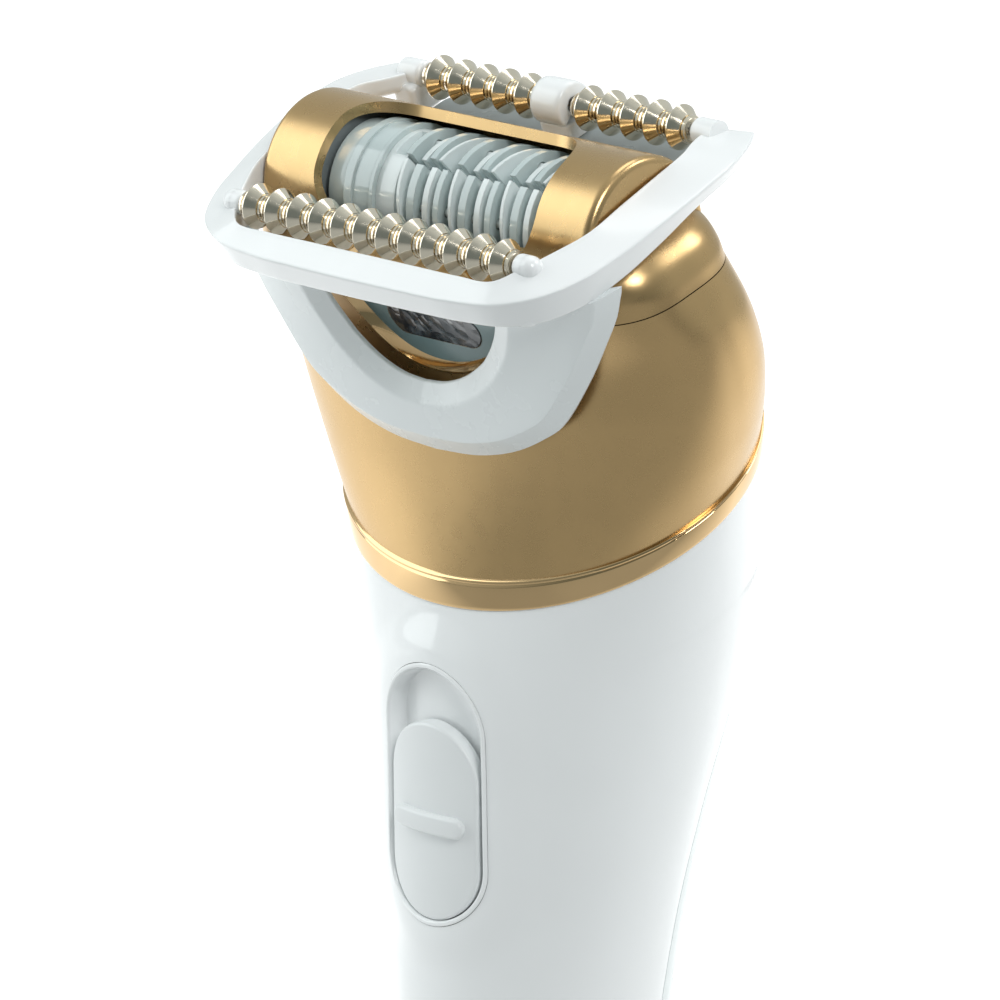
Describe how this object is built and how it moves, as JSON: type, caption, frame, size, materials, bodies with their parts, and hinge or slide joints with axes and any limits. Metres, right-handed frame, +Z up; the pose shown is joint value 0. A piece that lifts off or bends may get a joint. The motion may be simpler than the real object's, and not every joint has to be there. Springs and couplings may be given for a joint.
{
  "type": "epilator",
  "caption": "Hand-held cordless epilator: flared grip with slide switch, tilted domed neck, lift-off head with a turning tweezer drum, and a lift-off cap carrying beaded massage rollers.",
  "frame": {"origin": "centre of the charging jack's mouth, in the flat base under the handle", "axes": "+Z up the handle, -Y towards the front with the slide switch, +X across the head"},
  "size_m": [0.0701, 0.061, 0.1765],
  "materials": {
    "white_shell": "gloss",
    "grey_shell": "gloss",
    "gold_satin": "satin",
    "gold_ring": "polished",
    "white_cap": "gloss",
    "grey_tray": "gloss",
    "disc_plastic": "gloss",
    "bead_metal": "polished",
    "steel": "satin",
    "brass": "satin",
    "gear_plastic": "matte",
    "chassis_plastic": "matte",
    "lens_smoke": "polished",
    "panel_teal": "satin",
    "seal_rubber": "matte",
    "board_green": "satin",
    "black_plastic": "matte",
    "cell_wrap": "satin"
  },
  "bodies": {
    "handle": {"front_shell": "white_shell", "rear_shell": "grey_shell", "base_cap": "white_shell", "charge_socket": "black_plastic", "base_screws": "steel", "switch_bezel": "white_shell", "battery_cell": "cell_wrap", "battery_tabs": "steel", "battery_carrier": "chassis_plastic", "circuit_board": "board_green", "board_parts": "black_plastic", "slide_switch": "black_plastic", "trim_ring": "gold_ring", "dome": "gold_satin", "light_rim": "gold_ring", "light_panel": "panel_teal", "light_lens": "lens_smoke", "work_light": "white_cap", "motor_can": "steel", "motor_mount": "chassis_plastic", "motor_screws": "steel", "bulkhead": "chassis_plastic", "shaft_seal": "seal_rubber"},
    "slider": {"switch_slider": "white_cap"},
    "button": {"release_button": "gold_satin"},
    "motor_rotor": {"motor_shaft": "steel", "drive_star": "gear_plastic"},
    "head": {"head_shell": "gold_satin", "head_chassis": "chassis_plastic", "drum_bushes": "brass", "idler_pin": "steel"},
    "input": {"input_shaft": "gear_plastic", "input_pinion": "brass"},
    "layshaft": {"lay_shaft": "steel", "lay_gear": "brass", "crown_gear": "gear_plastic"},
    "idler": {"idler_gear": "gear_plastic"},
    "drum": {"drum_core": "disc_plastic", "left_flange": "disc_plastic", "drum_band": "disc_plastic", "right_flange": "disc_plastic", "drum_axle": "steel", "drum_gear": "gear_plastic", "tweezer_discs": "disc_plastic", "lifter_blades": "disc_plastic"},
    "tweezers": {"moving_discs": "disc_plastic"},
    "cap": {"cap_frame": "white_cap", "cap_trough": "grey_tray", "cap_skirt": "white_cap", "centre_clip": "white_cap", "roller_pins": "steel"},
    "front_roller": {"front_roller": "bead_metal"},
    "rear_left_roller": {"rear_left_roller": "bead_metal"},
    "rear_right_roller": {"rear_right_roller": "bead_metal"}
  },
  "joints": [
    {"name": "switch_slide", "type": "slide", "parent": "handle", "child": "slider", "axis": [0, 0, 1], "range_m": [0, 0.0062]},
    {"name": "release_press", "type": "slide", "parent": "handle", "child": "button", "axis": [0, -0.7547, -0.6561], "range_m": [0, 0.0013], "stiffness_N_per_m": 800, "springref_m": -0.001},
    {"name": "head_lift", "type": "slide", "parent": "handle", "child": "head", "axis": [0, -0.309, 0.9511], "range_m": [0, 0.032]},
    {"name": "cap_lift", "type": "slide", "parent": "head", "child": "cap", "axis": [0, -0.3746, 0.9272], "range_m": [0, 0.034]},
    {"name": "motor_spin", "type": "hinge", "parent": "handle", "child": "motor_rotor", "pos_m": [0, 0.00406, 0.12496], "axis": [0, -0.309, 0.9511], "continuous": true},
    {"name": "input_spin", "type": "hinge", "parent": "head", "child": "input", "pos_m": [0, -0.00057, 0.13922], "axis": [0, -0.309, 0.9511], "continuous": true},
    {"name": "layshaft_spin", "type": "hinge", "parent": "head", "child": "layshaft", "pos_m": [0, -0.00305, 0.14683], "axis": [1, 0, 0], "continuous": true},
    {"name": "idler_spin", "type": "hinge", "parent": "head", "child": "idler", "pos_m": [0, -0.00505, 0.15301], "axis": [1, 0, 0], "continuous": true},
    {"name": "drum_spin", "type": "hinge", "parent": "head", "child": "drum", "pos_m": [0, -0.0083, 0.163], "axis": [1, 0, 0], "continuous": true},
    {"name": "tweezer_close", "type": "slide", "parent": "drum", "child": "tweezers", "axis": [1, 0, 0], "range_m": [0, 0.0008]},
    {"name": "front_roller_spin", "type": "hinge", "parent": "cap", "child": "front_roller", "pos_m": [0, -0.02551, 0.16225], "axis": [1, 0, 0], "continuous": true},
    {"name": "rear_left_roller_spin", "type": "hinge", "parent": "cap", "child": "rear_left_roller", "pos_m": [-0.0129, 0.00576, 0.17346], "axis": [1, 0, 0], "continuous": true},
    {"name": "rear_right_roller_spin", "type": "hinge", "parent": "cap", "child": "rear_right_roller", "pos_m": [0.0129, 0.00576, 0.17346], "axis": [1, 0, 0], "continuous": true}
  ],
  "couplings": [
    {"joint": "idler_spin", "follows": "drum_spin", "ratio": -2},
    {"joint": "layshaft_spin", "follows": "drum_spin", "ratio": 2.3333},
    {"joint": "input_spin", "follows": "drum_spin", "ratio": -5.8333},
    {"joint": "motor_spin", "follows": "drum_spin", "ratio": -5.8333}
  ]
}
